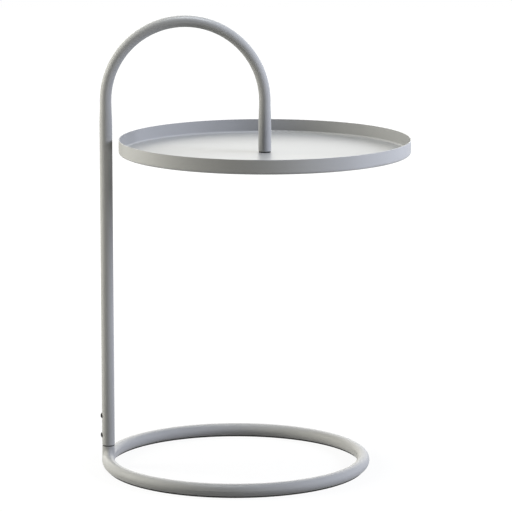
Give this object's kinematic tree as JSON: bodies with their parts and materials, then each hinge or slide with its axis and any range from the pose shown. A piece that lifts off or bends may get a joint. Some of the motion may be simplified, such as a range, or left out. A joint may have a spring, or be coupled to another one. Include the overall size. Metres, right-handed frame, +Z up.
{
  "type": "nightstand",
  "caption": "Round rimmed tray table on one bent steel tube, which rises from a floor ring and arches over as a carrying handle before it meets the tray's middle.",
  "frame": {"origin": "on the floor, under the middle of the table's own length and width", "axes": "+Z up; +X from the post towards the tray; +Y completes a right-handed set, and the XZ plane is the plane of symmetry"},
  "size_m": [0.4028, 0.3764, 0.5919],
  "materials": {
    "coated_steel": "satin grey powder coat with a fine texture",
    "black_screws": "black oxide, satin",
    "zinc_steel": "zinc plated, semi bright",
    "gasket_rubber": "matt black",
    "strip_rubber": "extruded anti-slip rubber, matt black"
  },
  "bodies": {
    "root": {"base_ring": "coated_steel", "base_collar": "coated_steel", "stem_spigot": "zinc_steel", "post_gasket": "gasket_rubber", "stem_tube": "coated_steel", "lower_stem_screw": "black_screws", "upper_stem_screw": "black_screws", "leg_plug": "zinc_steel", "tray_gasket": "gasket_rubber", "tray": "coated_steel", "support_disc": "coated_steel", "tray_washer": "zinc_steel", "tray_lock_washer": "zinc_steel", "tray_bolt": "zinc_steel", "floor_strip": "strip_rubber"}
  },
  "joints": []
}
